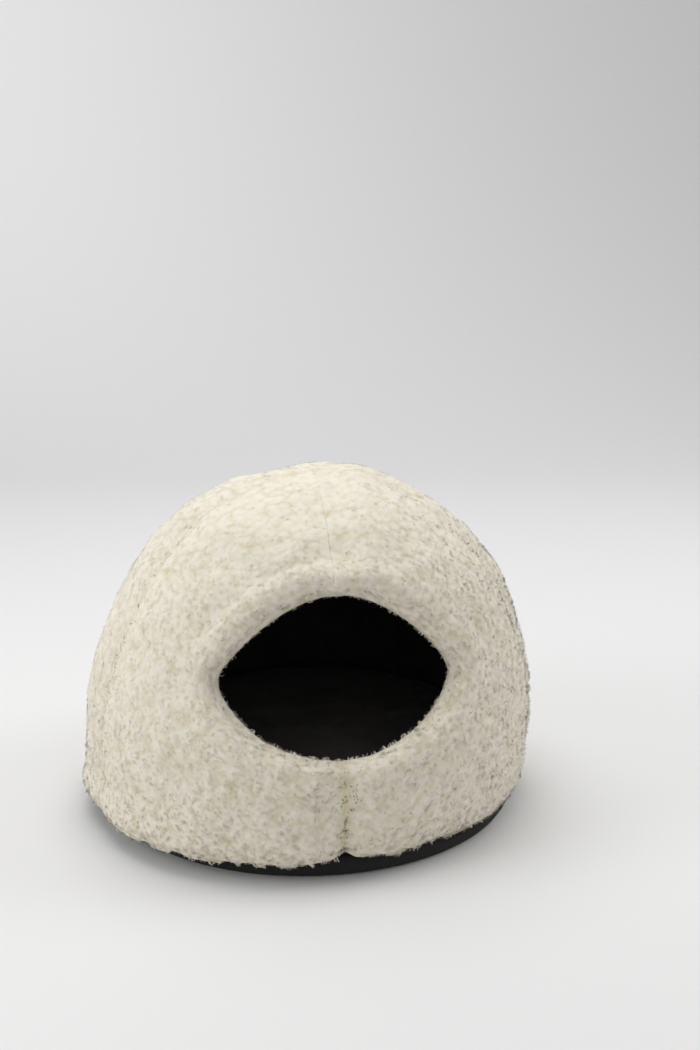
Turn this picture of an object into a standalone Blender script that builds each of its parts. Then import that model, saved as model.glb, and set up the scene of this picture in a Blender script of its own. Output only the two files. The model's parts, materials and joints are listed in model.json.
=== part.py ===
"""Plush cave bed for a cat: a sewn dome of five fleece gores over foam, with an almond mouth.

Metres, +Z up. The origin is the centre of the base on the floor, and the mouth faces -Y.
Angles round the dome are measured from the mouth (-Y) towards +X, and left and right are
as seen by someone who looks into the mouth.
"""

from math import asin, cos, degrees, hypot, pi, radians, sin, sqrt

import bmesh
import bpy
from mathutils import Vector

# ---- Driving dimensions -------------------------------------------------------------------
BODY_RADIUS = 0.220  # to the tips of the pile, at the widest
BODY_HEIGHT = 0.340
WIDEST_HEIGHT = 0.075
HEM_TUCK = 0.024  # how much less the radius is where the fleece meets the base
HEM_HEIGHT = 0.010
SHOULDER_POWER = 2.25  # how long the wall stays upright before it turns in
CROWN_POWER = 1.9  # how round the top is
APEX_RADIUS = 0.004  # the gores' tips stop this far from the axis

GORES = 5
SEAM_DIP = 0.006  # how far the pile sinks where two gores are sewn together
SEAM_REACH = 0.030
SEAM_GAP = 0.0004  # between two gores
LAYER_GAP = 0.0004  # between two layers, and under what rests

FLEECE = 0.014
FOAM = 0.016
LINING = 0.002
TURN_IN = 0.008  # fleece turned in round the mouth
TURN_IN_WIDTH = 0.031

MOUTH_ANGLE = 34.5  # degrees from the middle of the mouth to its corner
MOUTH_CORNER_HEIGHT = 0.174
MOUTH_RISE = 0.069
MOUTH_DROP = 0.062
MOUTH_POWER = 1.7  # under 2 is more pointed at the corners than an ellipse

BASE_COVER = 0.002
BASE_COVER_CORNER = 0.010
BASE_RIM_HEIGHT = 0.023
BASE_FOAM = 0.032

CUSHION_ROOM = 0.052  # from the pile's tips in to the cushion's edge
CUSHION_SIDE = 0.034
CUSHION_CROWN = 0.014  # how far the top stands above its edge
CUSHION_COVER = 0.0015
CUSHION_CORNER = 0.006

ZIP_ANGLE = 108.0  # degrees of the cushion's side that the zip takes, at the back
ZIP_TAPE = 0.0010
ZIP_SLIT = 0.0014  # between the two coils
COIL_WIDTH = 0.0022
COIL_DEPTH = 0.0016
STOP_LENGTH = 0.0024
SLIDER_LENGTH = 0.0090
SLIDER_WIDTH = 0.0078
SLIDER_PLATE = 0.0011
SLIDER_WEB = 0.0008
SLIDER_CLEAR = 0.0003
BAIL_LENGTH = 0.0044
BAIL_WIDTH = 0.0012
BAIL_WIRE = 0.0008
PULL_LENGTH = 0.0130
PULL_WIDTH = 0.0046
PULL_THICKNESS = 0.0010
PULL_CLEAR = 0.00025
PULL_EYE_LENGTH = 0.0034
PULL_EYE_WIDTH = 0.0022

# ---- Mesh fineness ------------------------------------------------------------------------
COLUMNS = 8  # spans across a gore, and the same steps go all round every turned piece
ROWS = 10  # spans up a gore, above its foot
RAYS_TO_SEAM, RAYS_TO_APEX = 9, 3
RAY_SPANS = 4
BEAD_SPANS = 6
ZIP_STEP = 3.0  # degrees

# ---- Sizes that follow --------------------------------------------------------------------
HEM_RADIUS = BODY_RADIUS - HEM_TUCK
CUSHION_RADIUS = BODY_RADIUS - CUSHION_ROOM
OUTER_FOAM = FLEECE + LAYER_GAP
INNER_FOAM = OUTER_FOAM + FOAM
OUTER_LINING = INNER_FOAM + LAYER_GAP
INNER_LINING = OUTER_LINING + LINING
WALL = OUTER_LINING + TURN_IN  # thickness of the rolled edge of the mouth
BASE_FOAM_TOP = BASE_COVER + LAYER_GAP + BASE_FOAM
FOAM_FOOT = BASE_FOAM_TOP + LAYER_GAP
FLOOR_TOP = FOAM_FOOT + LINING
LINING_FOOT = FLOOR_TOP + LAYER_GAP
CUSHION_BOTTOM = FLOOR_TOP + LAYER_GAP
CUSHION_EDGE = CUSHION_BOTTOM + CUSHION_SIDE
ZIP_HEIGHT = CUSHION_BOTTOM + CUSHION_SIDE / 2
TAPE_BACK = CUSHION_RADIUS - CUSHION_COVER
COIL_BACK = TAPE_BACK + ZIP_TAPE
COIL_FRONT = COIL_BACK + COIL_DEPTH
SLIDER_FRONT = COIL_FRONT + SLIDER_CLEAR + SLIDER_PLATE
PULL_AXIS = SLIDER_FRONT + PULL_CLEAR + PULL_THICKNESS / 2
WADDING_RADIUS = TAPE_BACK - 2 * SLIDER_CLEAR - SLIDER_PLATE

GORE_ANGLE = 360.0 / GORES
STEP = GORE_ANGLE / COLUMNS

MATERIALS = {
    "fleece": ((0.80, 0.76, 0.66), 0.95, 0.0),
    "foam": ((0.72, 0.70, 0.62), 0.9, 0.0),
    "lining": ((0.012, 0.011, 0.010), 0.9, 0.0),
    "base_fabric": ((0.015, 0.015, 0.016), 0.85, 0.0),
    "cushion_fabric": ((0.020, 0.019, 0.018), 0.9, 0.0),
    "wadding": ((0.85, 0.85, 0.83), 0.95, 0.0),
    "zip_tape": ((0.018, 0.018, 0.018), 0.8, 0.0),
    "zip_metal": ((0.10, 0.10, 0.10), 0.35, 1.0),
}


def clear_scene():
    for old in list(bpy.data.objects):
        bpy.data.objects.remove(old, do_unlink=True)


def material(name):
    made = bpy.data.materials.get(name)
    if made:
        return made
    colour, roughness, metallic = MATERIALS[name]
    made = bpy.data.materials.new(name)
    made.use_nodes = True
    shader = made.node_tree.nodes["Principled BSDF"]
    shader.inputs["Base Color"].default_value = (*colour, 1.0)
    shader.inputs["Roughness"].default_value = roughness
    shader.inputs["Metallic"].default_value = metallic
    return made


# ---- The dome's side view -----------------------------------------------------------------
def side_radius(height):
    """Radius of the pile's tips at a height: an ellipse under the widest place, a superellipse above."""
    if height < WIDEST_HEIGHT:
        under = (WIDEST_HEIGHT - height) / (WIDEST_HEIGHT - HEM_HEIGHT)
        return HEM_RADIUS + (BODY_RADIUS - HEM_RADIUS) * sqrt(max(0.0, 1 - under**2))
    above = min(1.0, (height - WIDEST_HEIGHT) / (BODY_HEIGHT - WIDEST_HEIGHT))
    return BODY_RADIUS * (1 - above**SHOULDER_POWER) ** (1 / CROWN_POWER)


def side_curve(count=400):
    """Points (radius, height) from the hem to the axis, and the length of the curve up to each."""
    low = [HEM_HEIGHT + (WIDEST_HEIGHT - HEM_HEIGHT) * (1 - cos(pi / 2 * i / count)) for i in range(count)]
    high = [WIDEST_HEIGHT + (BODY_HEIGHT - WIDEST_HEIGHT) * sin(pi / 2 * i / count) for i in range(count)]
    points = [(side_radius(z), z) for z in low + high] + [(0.0, BODY_HEIGHT)]
    lengths = [0.0]
    for (r0, z0), (r1, z1) in zip(points, points[1:]):
        lengths.append(lengths[-1] + hypot(r1 - r0, z1 - z0))
    return points, lengths


CURVE, LENGTHS = side_curve()


def between(value, keys, pick):
    """The piecewise straight value of pick(i) where keys pass value."""
    low, high = 0, len(keys) - 1
    while high - low > 1:
        middle = (low + high) // 2
        low, high = (middle, high) if keys[middle] <= value else (low, middle)
    share = (value - keys[low]) / (keys[high] - keys[low])
    return pick(low) + (pick(high) - pick(low)) * share


def on_side(along, inset=0.0):
    """(radius, height) at a length along the curve, moved in from the pile's tips by inset."""
    step = 0.0005
    ends = [max(0.0, along - step), min(LENGTHS[-1], along + step)]
    r0, r1 = (between(a, LENGTHS, lambda i: CURVE[i][0]) for a in ends)
    z0, z1 = (between(a, LENGTHS, lambda i: CURVE[i][1]) for a in ends)
    r = between(along, LENGTHS, lambda i: CURVE[i][0])
    z = between(along, LENGTHS, lambda i: CURVE[i][1])
    run = hypot(r1 - r0, z1 - z0)
    return r - inset * (z1 - z0) / run, z + inset * (r1 - r0) / run


def along_at(height, inset=0.0):
    """The length along the curve where the moved-in curve passes a height."""
    low, high = 0.0, LENGTHS[-1]
    for _ in range(50):
        middle = (low + high) / 2
        low, high = (middle, high) if on_side(middle, inset)[1] < height else (low, middle)
    return low


APEX_ALONG = between(-APEX_RADIUS, [-r for r, _ in CURVE], lambda i: LENGTHS[i])
FOOT_ALONG = along_at(FOAM_FOOT, OUTER_FOAM)


def seam_dip(radius, angle, start, end):
    """How far the pile sinks at a place between a gore's two seams."""
    near = radius * radians(min(abs(angle - start), abs(end - angle)))
    return SEAM_DIP * max(0.0, 1 - near / SEAM_REACH) ** 2


def place(along, angle, inset, start, end):
    """A point of a gore's layer. start and end are the angles of the gore's seams."""
    radius, height = on_side(along, inset)
    if inset < LAYER_GAP:
        fade = min(1.0, radius / (BODY_RADIUS / 2))
        radius, height = on_side(along, inset + seam_dip(radius, angle, start, end) * fade)
    clear = degrees(asin(min(0.9, SEAM_GAP / 2 / radius)))
    turned = radians(min(max(angle, start + clear), end - clear))
    return Vector((radius * sin(turned), -radius * cos(turned), height))


# ---- Solids from sections -----------------------------------------------------------------
def finish_mesh(name, shape, material_name, smooth_angle=50):
    """Makes an object of a bmesh, with its faces pointing out."""
    bmesh.ops.remove_doubles(shape, verts=shape.verts, dist=1e-6)
    bmesh.ops.recalc_face_normals(shape, faces=shape.faces)
    mesh = bpy.data.meshes.new(name)
    shape.to_mesh(mesh)
    shape.free()
    mesh.shade_smooth()
    mesh.set_sharp_from_angle(angle=radians(smooth_angle))
    made = bpy.data.objects.new(name, mesh)
    made.data.materials.append(material(material_name))
    bpy.context.scene.collection.objects.link(made)
    return made


def loft(name, sections, material_name, depths=None):
    """A solid through closed sections of equal count, capped at both ends.

    With a depth for each point of a section, every face is split from its deeper corner, so that
    layers built on the same lines stay clear of each other.
    """
    shape = bmesh.new()
    rings = [[shape.verts.new(p) for p in section] for section in sections]
    shape.faces.new(reversed(rings[0]))
    shape.faces.new(rings[-1])
    for first, second in zip(rings, rings[1:]):
        for i in range(len(first)):
            j = (i + 1) % len(first)
            if depths is None:
                shape.faces.new((first[i], first[j], second[j], second[i]))
            elif depths[i] > depths[j]:
                shape.faces.new((first[i], first[j], second[j]))
                shape.faces.new((first[i], second[j], second[i]))
            else:
                shape.faces.new((first[i], first[j], second[i]))
                shape.faces.new((first[j], second[j], second[i]))
    return finish_mesh(name, shape, material_name)


def swept(name, outline, material_name, start, end, step):
    """A closed outline of (radius, height) swept about the axis from start to end degrees."""
    steps = round((end - start) / step)
    angles = [radians(start + (end - start) * i / steps) for i in range(steps + 1)]
    sections = [[Vector((r * sin(a), -r * cos(a), z)) for r, z in outline] for a in angles]
    return loft(name, sections, material_name)


def turned(name, outline, material_name):
    """An open outline of (radius, height) turned all round, with a flat face across each of its ends."""
    angles = [radians(STEP * i) for i in range(GORES * COLUMNS)]
    sections = [[Vector((r * sin(a), -r * cos(a), z)) for a in angles] for r, z in outline]
    return loft(name, sections, material_name)


# ---- Gores --------------------------------------------------------------------------------
def rows_above(foot):
    """Lengths along the side curve from a layer's foot to the apex, shared by all layers above FOOT_ALONG."""
    shared = [FOOT_ALONG + (APEX_ALONG - FOOT_ALONG) * i / ROWS for i in range(ROWS + 1)]
    return [foot, *shared[1:]]


def plain_gore(name, start, end, outer, inner, outer_rows, inner_rows, material_name):
    """A gore with no mouth in it, from seam angle start to seam angle end."""
    sections = []
    for column in range(COLUMNS + 1):
        angle = start + (end - start) * column / COLUMNS
        section = [place(along, angle, outer, start, end) for along in outer_rows]
        section += [place(along, angle, inner, start, end) for along in reversed(inner_rows)]
        sections.append(section)
    return loft(name, sections, material_name)


RAYS = COLUMNS + RAYS_TO_SEAM + RAYS_TO_APEX


def mouth_ray(number):
    """Where a ray of the front gore starts on the mouth's edge and ends on the gore's, as (degrees, along).

    The rays run from the front seam under the mouth, round its corner, to the front seam above it.
    """
    turn = pi / 2 - pi * number / RAYS
    rise = -MOUTH_DROP if turn > 0 else MOUTH_RISE
    height = MOUTH_CORNER_HEIGHT + rise * abs(sin(turn)) ** MOUTH_POWER
    edge = (MOUTH_ANGLE * cos(turn), along_at(height, WALL / 2))
    if number <= COLUMNS:
        return edge, (STEP * number, FOOT_ALONG)
    number -= COLUMNS
    if number <= RAYS_TO_SEAM:
        return edge, (GORE_ANGLE, FOOT_ALONG + (APEX_ALONG - FOOT_ALONG) * number / RAYS_TO_SEAM)
    number -= RAYS_TO_SEAM
    return edge, (GORE_ANGLE * (1 - number / RAYS_TO_APEX), APEX_ALONG)


class Ray:
    """One ray of a front gore, from the mouth's edge to the gore's edge, on the side given by sign."""

    def __init__(self, number, sign):
        self.sign = sign
        self.to_hem = number <= COLUMNS
        self.edge, self.end = mouth_ray(number)
        self.length = (self.raw(1.0, 0.0) - self.raw(0.0, 0.0)).length

    def raw(self, share, inset):
        angle = self.edge[0] + (self.end[0] - self.edge[0]) * share
        along = self.edge[1] + (self.end[1] - self.edge[1]) * share
        point = place(along, angle, inset, 0.0, GORE_ANGLE)
        return Vector((self.sign * point.x, point.y, point.z))

    def at(self, distance, inset):
        """The point at a distance from the mouth's edge."""
        return self.raw(distance / self.length, inset)

    def far(self, near, span, inset):
        """The point after some of RAY_SPANS spans between the distance near and the ray's end."""
        share = near / self.length
        return self.raw(share + (1 - share) * span / RAY_SPANS, inset)

    def foot(self, along, inset):
        """The point below the ray's end, or the end itself on a ray that doesn't end at the foot."""
        if not self.to_hem:
            return self.raw(1.0, inset)
        point = place(along, self.end[0], inset, 0.0, GORE_ANGLE)
        return Vector((self.sign * point.x, point.y, point.z))


def bead(ray, centre, middle, radius, spans, outward):
    """Points round a half circle about (distance centre, inset middle), from the outer side to the inner."""
    made = []
    for i in range(spans + 1):
        turn = pi * i / spans
        made.append(ray.at(centre - radius * sin(turn), middle - radius * cos(turn)))
    return made if outward else made[::-1]


def front_gore(name, sign, section_of, material_name):
    """The gore on one side of the mouth, from its sections along the rays."""
    rays = [Ray(number, sign) for number in range(RAYS + 1)]
    sections = [section_of(ray) for ray in rays]
    middle = RAYS // 2
    edge = rays[middle].at(0.0, WALL / 2)
    depths = [(point - edge).length for point in sections[middle]]
    return loft(name, sections, material_name, depths)


def fleece_section(ray):
    """Out along the pile, round the rolled edge, back a little inside, and out again round the foam."""
    half = WALL / 2
    slot = (FOAM + 2 * LAYER_GAP) / 2
    slot_centre = TURN_IN_WIDTH - FLEECE / 4
    below = [FOOT_ALONG / 2, 0.0]
    section = [ray.foot(along, 0.0) for along in reversed(below)]
    section += [ray.far(half, span, 0.0) for span in range(RAY_SPANS, 0, -1)]
    section += bead(ray, half, half, half, BEAD_SPANS, True)
    section += [ray.at(TURN_IN_WIDTH, WALL), ray.at(TURN_IN_WIDTH, WALL - TURN_IN)]
    section += bead(ray, slot_centre - slot, FLEECE + slot, slot, BEAD_SPANS - 2, False)
    section += [ray.far(TURN_IN_WIDTH, span, FLEECE) for span in range(RAY_SPANS + 1)]
    section += [ray.foot(along, FLEECE) for along in below]
    return section


def foam_section(ray):
    """The foam's edge lies in the fleece that is turned in round the mouth."""
    half = FOAM / 2
    centre = TURN_IN_WIDTH - FLEECE / 4 - half
    section = [ray.foot(along_at(FOAM_FOOT, OUTER_FOAM), OUTER_FOAM)]
    section += [ray.far(TURN_IN_WIDTH, span, OUTER_FOAM) for span in range(RAY_SPANS - 1, -1, -1)]
    section += bead(ray, centre, OUTER_FOAM + half, half, BEAD_SPANS - 2, True)
    section += [ray.far(TURN_IN_WIDTH, span, INNER_FOAM) for span in range(RAY_SPANS)]
    section += [ray.foot(along_at(FOAM_FOOT, INNER_FOAM), INNER_FOAM)]
    return section


def lining_section(ray):
    """The lining stops at the edge of the turned-in fleece, which it is sewn to."""
    near = TURN_IN_WIDTH + LAYER_GAP
    section = [ray.foot(along_at(LINING_FOOT, OUTER_LINING), OUTER_LINING)]
    section += [ray.far(near, span, OUTER_LINING) for span in range(RAY_SPANS - 1, -1, -1)]
    section += [ray.far(near, span, INNER_LINING) for span in range(RAY_SPANS)]
    section += [ray.foot(along_at(LINING_FOOT, INNER_LINING), INNER_LINING)]
    return section


def make_gores():
    """Three layers of five gores. The two at the front share the mouth, and their seam runs through it."""
    layers = (
        ("fleece", fleece_section, 0.0, FLEECE, None),
        ("foam", foam_section, OUTER_FOAM, INNER_FOAM, FOAM_FOOT),
        ("lining", lining_section, OUTER_LINING, INNER_LINING, LINING_FOOT),
    )
    rest = (("right", 1), ("back", 2), ("left", 3))
    for layer, section_of, outer, inner, foot in layers:
        for side, sign in (("left", -1), ("right", 1)):
            front_gore(f"{layer}_front_{side}", sign, section_of, layer)
        for side, number in rest:
            start = GORE_ANGLE * number
            if foot is None:
                rows = [0.0, FOOT_ALONG / 2, *rows_above(FOOT_ALONG)]
                outer_rows = inner_rows = rows
            else:
                outer_rows, inner_rows = (rows_above(along_at(foot, inset)) for inset in (outer, inner))
            name = f"{layer}_{side}"
            plain_gore(name, start, start + GORE_ANGLE, outer, inner, outer_rows, inner_rows, layer)


# ---- Base ---------------------------------------------------------------------------------
def arc(radius, height, size, start, end, spans):
    """Points of an arc in the (radius, height) plane, angles in degrees from outwards to up."""
    angles = [radians(start + (end - start) * i / spans) for i in range(spans + 1)]
    return [(radius + size * cos(a), height + size * sin(a)) for a in angles]


def make_base():
    """The bottom: a black cloth dish, the foam slab in it, and the cloth floor of the cave."""
    rim = HEM_RADIUS - LAYER_GAP
    cloth, corner = BASE_COVER, BASE_COVER_CORNER
    outside = arc(rim - corner, corner, corner, -90, 0, 4) + [(rim, BASE_RIM_HEIGHT)]
    inside = [(rim - cloth, BASE_RIM_HEIGHT)] + arc(rim - corner, corner, corner - cloth, 0, -90, 4)
    turned("base_cover", outside + inside, "base_fabric")
    slab = rim - cloth - LAYER_GAP
    slab_corner = corner - cloth - LAYER_GAP
    outline = arc(slab - slab_corner, corner, slab_corner, -90, 0, 4)
    turned("base_foam", outline + [(slab, BASE_FOAM_TOP)], "foam")
    wall_foot = on_side(along_at(FOAM_FOOT, INNER_FOAM), INNER_FOAM)[0]
    floor = wall_foot - LAYER_GAP
    turned("lining_floor", [(floor, FOAM_FOOT), (floor, FLOOR_TOP)], "lining")


# ---- Cushion ------------------------------------------------------------------------------
def crown(radius, low, spans=6):
    """Points of a cushion's swollen top, from its edge to near its middle."""
    shares = [1 - i / spans for i in range(spans)]
    return [(radius * share, low + CUSHION_CROWN * (1 - share**2.6)) for share in shares]


def make_cushion():
    """A loose round pad: two cloth panels and a side band round wadding. A zip closes the band."""
    cloth, corner = CUSHION_COVER, CUSHION_CORNER
    side, low, high = CUSHION_RADIUS - corner, CUSHION_BOTTOM, CUSHION_EDGE
    band_low, band_high = low + corner, high - corner
    outer = arc(side, band_low, corner, -90, 0, 3)
    inner = arc(side, band_low, corner - cloth, 0, -90, 3)
    turned("cushion_bottom_panel", outer + inner, "cushion_fabric")
    inner = crown(side, high - cloth)[:0:-1] + arc(side, band_high, corner - cloth, 90, 0, 3)
    outer = arc(side, band_high, corner, 0, 90, 3) + crown(side, high)[1:]
    turned("cushion_top_panel", inner + outer, "cushion_fabric")
    core_low, core_high = low + cloth + LAYER_GAP, high - cloth - LAYER_GAP
    core_corner = corner - cloth
    core = WADDING_RADIUS - core_corner
    outline = arc(core, core_low + core_corner, core_corner, -90, 0, 3)
    outline += arc(core, core_high - core_corner, core_corner, 0, 90, 3) + crown(core, core_high)[1:]
    turned("cushion_wadding", outline, "wadding")
    low, high = band_low + LAYER_GAP, band_high - LAYER_GAP
    band = [(TAPE_BACK, low), (CUSHION_RADIUS, low), (CUSHION_RADIUS, high), (TAPE_BACK, high)]
    end = 180 - ZIP_ANGLE / 2 - degrees(LAYER_GAP / CUSHION_RADIUS)
    swept("cushion_side_band", band, "cushion_fabric", -end, end, STEP)
    make_zip_halves(low, high)


# ---- Zip ----------------------------------------------------------------------------------
ZIP_START = 180 - ZIP_ANGLE / 2
SLIDER_START = ZIP_START + degrees((STOP_LENGTH + SLIDER_CLEAR + SLIDER_LENGTH / 2) / CUSHION_RADIUS)


def make_zip_halves(low, high):
    """Each half of the zip is a tape with its coil on the edge. A stop at each end joins the coils."""
    for name, sign, far in (("lower", -1, low), ("upper", 1, high)):
        near = ZIP_HEIGHT + sign * ZIP_SLIT / 2
        coil = near + sign * COIL_WIDTH
        outline = [(TAPE_BACK, far), (TAPE_BACK, near), (COIL_FRONT, near)]
        outline += [(COIL_FRONT, coil), (COIL_BACK, coil), (COIL_BACK, far)]
        swept(f"zip_{name}_half", outline, "zip_tape", ZIP_START, ZIP_START + ZIP_ANGLE, ZIP_STEP)
    angle = degrees(STOP_LENGTH / CUSHION_RADIUS)
    back, front = COIL_FRONT + LAYER_GAP / 2, COIL_FRONT + SLIDER_PLATE
    reach = ZIP_SLIT / 2 + COIL_WIDTH
    for name, start in (("closed", ZIP_START), ("open", ZIP_START + ZIP_ANGLE - angle)):
        outline = [(back, ZIP_HEIGHT - reach), (front, ZIP_HEIGHT - reach)]
        outline += [(front, ZIP_HEIGHT + reach), (back, ZIP_HEIGHT + reach)]
        swept(f"zip_{name}_stop", outline, "zip_metal", start, start + angle, angle)


def box(name, low, high, material_name):
    """A box between two corners."""
    sections = []
    for x in (low[0], high[0]):
        corners = ((low[1], low[2]), (high[1], low[2]), (high[1], high[2]), (low[1], high[2]))
        sections.append([Vector((x, y, z)) for y, z in corners])
    return loft(name, sections, material_name)


def cut(made, tool, operation):
    """Joins or cuts with a helper that isn't part of the model."""
    modifier = made.modifiers.new(tool.name, "BOOLEAN")
    modifier.operation = operation
    modifier.solver = "EXACT"
    modifier.object = tool
    tool.hide_render = True
    tool.display_type = "WIRE"


def set_on_zip(made, radius=0.0):
    """Puts an object at the closed end of the zip, its X along the zip and its -Y out of the cushion."""
    angle = radians(SLIDER_START)
    made.location = (radius * sin(angle), -radius * cos(angle), ZIP_HEIGHT)
    made.rotation_euler = (0.0, 0.0, angle)


def make_slider():
    """The slider: two plates and the web between them, one each side of the coils, and a bail on top.

    Its origin is on the axis of the arc that it runs on.
    """
    plate, web = SLIDER_WIDTH / 2, SLIDER_WEB / 2
    back, inner, outer = TAPE_BACK - SLIDER_CLEAR, SLIDER_FRONT - SLIDER_PLATE, SLIDER_FRONT
    upper = [(back - SLIDER_PLATE, plate), (back, plate), (back, web)]
    upper += [(inner, web), (inner, plate), (outer, plate)]
    outline = upper + [(out, -z) for out, z in reversed(upper)]
    ends = (-SLIDER_LENGTH / 2, SLIDER_LENGTH / 2)
    slider = loft("zip_slider", [[Vector((x, -out, z)) for out, z in outline] for x in ends], "zip_metal")
    half, wire = BAIL_LENGTH / 2, BAIL_WIRE
    foot, room = outer - wire / 2, outer + 2 * PULL_CLEAR + PULL_THICKNESS
    arch = [(-half, foot), (wire - half, foot), (wire - half, room), (half - wire, room)]
    arch += [(half - wire, foot), (half, foot), (half, room + wire), (-half, room + wire)]
    sides = (-BAIL_WIDTH / 2, BAIL_WIDTH / 2)
    bail = loft("bail", [[Vector((x, -out, z)) for x, out in arch] for z in sides], "zip_metal")
    cut(slider, bail, "UNION")
    set_on_zip(slider)
    set_on_zip(bail)


def make_pull():
    """The pull: a plate with an eye at one end. Its origin is in the bar of the eye, which lies in the bail."""
    half, wide, eye = PULL_THICKNESS / 2, PULL_WIDTH / 2, PULL_EYE_WIDTH / 2
    pull = box("zip_pull", (-half, -half, -wide), (PULL_LENGTH - half, half, wide), "zip_metal")
    low, high = (half, -PULL_THICKNESS, -eye), (half + PULL_EYE_LENGTH, PULL_THICKNESS, eye)
    hole = box("eye", low, high, "zip_metal")
    cut(pull, hole, "DIFFERENCE")
    set_on_zip(pull, PULL_AXIS)
    set_on_zip(hole, PULL_AXIS)


clear_scene()
make_gores()
make_base()
make_cushion()
make_slider()
make_pull()
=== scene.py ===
import json
from math import cos, pi, radians, sin

import bmesh
import bpy
import numpy as np
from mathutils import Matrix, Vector, noise
from mathutils.bvhtree import BVHTree

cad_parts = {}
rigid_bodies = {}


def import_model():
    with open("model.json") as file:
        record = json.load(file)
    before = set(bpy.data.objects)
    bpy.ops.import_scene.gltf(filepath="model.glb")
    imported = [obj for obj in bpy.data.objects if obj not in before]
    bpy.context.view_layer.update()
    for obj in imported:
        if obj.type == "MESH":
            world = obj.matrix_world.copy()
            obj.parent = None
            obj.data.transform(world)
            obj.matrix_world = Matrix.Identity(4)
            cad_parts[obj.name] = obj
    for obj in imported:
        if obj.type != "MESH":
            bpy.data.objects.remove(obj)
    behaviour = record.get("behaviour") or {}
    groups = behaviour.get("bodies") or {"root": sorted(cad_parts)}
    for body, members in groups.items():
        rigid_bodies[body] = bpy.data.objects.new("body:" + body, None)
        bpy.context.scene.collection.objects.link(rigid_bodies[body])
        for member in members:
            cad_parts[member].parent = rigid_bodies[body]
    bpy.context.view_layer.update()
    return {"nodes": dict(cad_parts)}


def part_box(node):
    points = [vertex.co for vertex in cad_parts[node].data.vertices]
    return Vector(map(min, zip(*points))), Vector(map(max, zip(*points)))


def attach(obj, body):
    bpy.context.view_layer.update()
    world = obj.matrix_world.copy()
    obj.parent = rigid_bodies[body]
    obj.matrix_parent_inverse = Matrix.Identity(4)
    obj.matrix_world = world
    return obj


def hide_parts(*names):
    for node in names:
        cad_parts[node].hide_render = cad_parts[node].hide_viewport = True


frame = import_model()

for made in bpy.data.objects:
    made.select_set(False)

# ---- Foam walls and base slab -------------------------------------------------------------
# Five gores of 16 mm polyurethane foam, cut from sheet and butted at the seams, stand on a
# 32 mm slab of the same foam. The covers hide them all.
GORES = ("front_right", "right", "back", "left", "front_left")
GORE_ANGLE = 72.0  # each gore's share of the circle, the first starting at the middle of the mouth
WALL_RADIUS, WALL_HEIGHT, WIDEST = 0.220, 0.340, 0.075
SHOULDER_POWER, CROWN_POWER = 2.25, 1.9  # how upright the wall stands, and how round its top is
MOUTH_HEIGHT, MOUTH_RISE, MOUTH_DROP = 0.174, 0.069, 0.062  # of its corners, and from there
MOUTH_ANGLE, MOUTH_POWER = 34.5, 1.7  # degrees to a corner, and how pointed the corners are
LEAN, SINK = 0.005, 0.009  # the dome's crown leans to the right and sinks
ROLL_DEPTH = 0.0388  # how far the fleece is rolled inwards at the mouth
SEAM_SQUEEZE = 0.0048  # how far the seams press the foam in
CREASE_FROM_MOUTH = 0.040  # the roll is stitched down this far from its edge
LOBE = 0.0045  # the crown's right half stands a little higher
SIDE_BULGE, HEM_BULGE = 0.008, 0.023  # the left side spreads, most of all at its hem


def linear(code):
    """An sRGB hex colour as the linear colour that a shader takes."""
    values = [int(code[i : i + 2], 16) / 255 for i in (1, 3, 5)]
    return (*[v / 12.92 if v <= 0.04045 else ((v + 0.055) / 1.055) ** 2.4 for v in values], 1.0)


def add(material, kind, inputs=None, **settings):
    """Adds a node. An input given as a socket is linked, and any other is set."""
    node = material.node_tree.nodes.new(kind)
    for name, value in settings.items():
        setattr(node, name, value)
    for name, value in (inputs or {}).items():
        if isinstance(value, bpy.types.NodeSocket):
            material.node_tree.links.new(value, node.inputs[name])
        else:
            node.inputs[name].default_value = value
    return node


def finish(name, colour, roughness, **settings):
    """A material with its shader set. Returns the material and the shader."""
    material = bpy.data.materials.new(name)
    material.use_nodes = True
    shader = material.node_tree.nodes["Principled BSDF"]
    shader.inputs["Base Color"].default_value = linear(colour)
    shader.inputs["Roughness"].default_value = roughness
    for key, value in settings.items():
        shader.inputs[key.replace("_", " ")].default_value = value
    return material, shader


def colours(material, fac, *stops):
    """A colour ramp through (position, hex) stops. Returns its colour socket."""
    ramp = add(material, "ShaderNodeValToRGB", {"Fac": fac})
    while len(ramp.color_ramp.elements) < len(stops):
        ramp.color_ramp.elements.new(0.5)
    for element, (position, code) in zip(ramp.color_ramp.elements, stops):
        element.position, element.color = position, linear(code)
    return ramp.outputs["Color"]


def wear(piece, material):
    """Gives a piece one material."""
    piece.data.materials.clear()
    piece.data.materials.append(material)


def points_of(piece):
    """A piece's points, one row each."""
    points = np.empty(len(piece.data.vertices) * 3)
    piece.data.vertices.foreach_get("co", points)
    return points.reshape(-1, 3)


def normals_of(piece):
    """The normal at each of a piece's points."""
    normals = np.empty(len(piece.data.vertices) * 3)
    piece.data.vertex_normals.foreach_get("vector", normals)
    return normals.reshape(-1, 3)


def move_to(piece, points):
    """Puts a piece's points where they are given."""
    piece.data.vertices.foreach_set("co", points.astype(np.float32).ravel())
    piece.data.update()


def take(piece):
    """Selects one piece and nothing else."""
    bpy.ops.object.select_all(action="DESELECT")
    piece.select_set(True)
    bpy.context.view_layer.objects.active = piece


def modify(piece, kind, **settings):
    """Adds a modifier and applies it."""
    take(piece)
    modifier = piece.modifiers.new(kind.title(), kind)
    for name, value in settings.items():
        setattr(modifier, name, value)
    bpy.ops.object.modifier_apply(modifier=modifier.name)


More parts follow.
